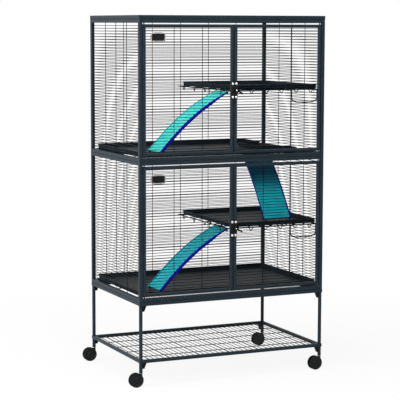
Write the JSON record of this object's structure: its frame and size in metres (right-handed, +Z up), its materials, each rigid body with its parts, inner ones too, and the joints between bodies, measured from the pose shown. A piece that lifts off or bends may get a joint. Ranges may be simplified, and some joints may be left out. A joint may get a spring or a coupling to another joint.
{
  "type": "ferret cage",
  "caption": "Tall two-storey wire pet cage on a rolling stand, with double doors on each storey, wire shelves with pans, ramps with fleece covers and a low storage shelf.",
  "frame": {"origin": "on the floor, at the middle of the whole cage in width and depth; because the casters trail to the left, this is 23 mm to the left of the middle of its walls", "axes": "+X to the right across the front, -Y out of the doors, +Z up"},
  "size_m": [0.9614, 0.6253, 1.6375],
  "materials": {
    "frame": "dark grey textured powder coat",
    "wire": "dark grey powder coat",
    "pan": "black, moulded",
    "black_part": "black",
    "caster": "black nylon",
    "fleece": "turquoise fleece with dark blue sides"
  },
  "bodies": {
    "cage": {"stand_ring": "frame", "stand_legs": "frame", "stand_gussets": "black_part", "rack_frame": "frame", "rack_grid": "wire", "lower_side_left": "frame", "lower_mesh_left": "wire", "lower_side_right": "frame", "lower_mesh_right": "wire", "lower_rails": "frame", "lower_mesh_back": "wire", "lower_floor": "wire", "lower_pan": "pan", "lower_shelf_frame": "wire", "lower_shelf_bracket": "wire", "lower_shelf_pan": "pan", "upper_side_left": "frame", "upper_mesh_left": "wire", "upper_side_right": "frame", "upper_mesh_right": "wire", "upper_rails": "frame", "upper_mesh_back": "wire", "mid_floor": "wire", "upper_pan": "pan", "upper_shelf_frame": "wire", "upper_shelf_bracket": "wire", "upper_shelf_pan": "pan", "roof_ring": "frame", "roof_mesh": "wire"},
    "door_ll": {"door_ll_frame": "frame", "door_ll_mesh": "wire", "door_ll_plate": "black_part", "door_ll_badge": "black_part"},
    "door_lr": {"door_lr_frame": "frame", "door_lr_mesh": "wire", "door_lr_plate": "black_part"},
    "door_ul": {"door_ul_frame": "frame", "door_ul_mesh": "wire", "door_ul_plate": "black_part", "door_ul_badge": "black_part"},
    "door_ur": {"door_ur_frame": "frame", "door_ur_mesh": "wire", "door_ur_plate": "black_part"},
    "latch_lower": {"door_lr_lever": "black_part"},
    "latch_upper": {"door_ur_lever": "black_part"},
    "ramp_lower": {"ramp_lower_frame": "wire", "ramp_lower_cover": "fleece"},
    "ramp_upper": {"ramp_upper_frame": "wire", "ramp_upper_cover": "fleece"},
    "ramp_hatch": {"ramp_hatch_frame": "wire", "ramp_hatch_cover": "fleece"},
    "caster_fl": {"caster_fl": "caster"},
    "wheel_fl": {"wheels_fl": "caster"},
    "caster_fr": {"caster_fr": "caster"},
    "wheel_fr": {"wheels_fr": "caster"},
    "caster_bl": {"caster_bl": "caster"},
    "wheel_bl": {"wheels_bl": "caster"},
    "caster_br": {"caster_br": "caster"},
    "wheel_br": {"wheels_br": "caster"}
  },
  "joints": [
    {"name": "door_ll_hinge", "type": "hinge", "parent": "cage", "child": "door_ll", "pos_m": [-0.4087, -0.2975, 0.6895], "axis": [0, 0, -1], "range_deg": [0, 95]},
    {"name": "door_lr_hinge", "type": "hinge", "parent": "cage", "child": "door_lr", "pos_m": [0.4547, -0.2975, 0.6895], "axis": [0, 0, 1], "range_deg": [0, 95]},
    {"name": "door_ul_hinge", "type": "hinge", "parent": "cage", "child": "door_ul", "pos_m": [-0.4087, -0.2975, 1.3105], "axis": [0, 0, -1], "range_deg": [0, 95]},
    {"name": "door_ur_hinge", "type": "hinge", "parent": "cage", "child": "door_ur", "pos_m": [0.4547, -0.2975, 1.3105], "axis": [0, 0, 1], "range_deg": [0, 95]},
    {"name": "latch_lower_lever", "type": "hinge", "parent": "door_lr", "child": "latch_lower", "pos_m": [0.0315, -0.311, 0.685], "axis": [0, -1, 0], "range_deg": [0, 60]},
    {"name": "latch_upper_lever", "type": "hinge", "parent": "door_ur", "child": "latch_upper", "pos_m": [0.0315, -0.311, 1.306], "axis": [0, -1, 0], "range_deg": [0, 60]},
    {"name": "ramp_lower_hook", "type": "hinge", "parent": "cage", "child": "ramp_lower", "pos_m": [0.009, -0.1435, 0.68311], "axis": [0, 1, 0], "range_deg": [0, 15]},
    {"name": "ramp_upper_hook", "type": "hinge", "parent": "cage", "child": "ramp_upper", "pos_m": [0.009, -0.1435, 1.30411], "axis": [0, 1, 0], "range_deg": [0, 15]},
    {"name": "ramp_hatch_hook", "type": "hinge", "parent": "cage", "child": "ramp_hatch", "pos_m": [0.3165, 0.084, 1.011], "axis": [-1, 0, 0], "range_deg": [0, 25]},
    {"name": "caster_fl_swivel", "type": "hinge", "parent": "cage", "child": "caster_fl", "pos_m": [-0.42575, -0.29675, 0.063], "axis": [0, 0, 1], "continuous": true},
    {"name": "wheel_fl_axle", "type": "hinge", "parent": "caster_fl", "child": "wheel_fl", "pos_m": [-0.44875, -0.29675, 0.032], "axis": [0, 1, 0], "continuous": true},
    {"name": "caster_fr_swivel", "type": "hinge", "parent": "cage", "child": "caster_fr", "pos_m": [0.47175, -0.29675, 0.063], "axis": [0, 0, 1], "continuous": true},
    {"name": "wheel_fr_axle", "type": "hinge", "parent": "caster_fr", "child": "wheel_fr", "pos_m": [0.44875, -0.29675, 0.032], "axis": [0, 1, 0], "continuous": true},
    {"name": "caster_bl_swivel", "type": "hinge", "parent": "cage", "child": "caster_bl", "pos_m": [-0.42575, 0.29675, 0.063], "axis": [0, 0, 1], "continuous": true},
    {"name": "wheel_bl_axle", "type": "hinge", "parent": "caster_bl", "child": "wheel_bl", "pos_m": [-0.44875, 0.29675, 0.032], "axis": [0, 1, 0], "continuous": true},
    {"name": "caster_br_swivel", "type": "hinge", "parent": "cage", "child": "caster_br", "pos_m": [0.47175, 0.29675, 0.063], "axis": [0, 0, 1], "continuous": true},
    {"name": "wheel_br_axle", "type": "hinge", "parent": "caster_br", "child": "wheel_br", "pos_m": [0.44875, 0.29675, 0.032], "axis": [0, 1, 0], "continuous": true}
  ]
}
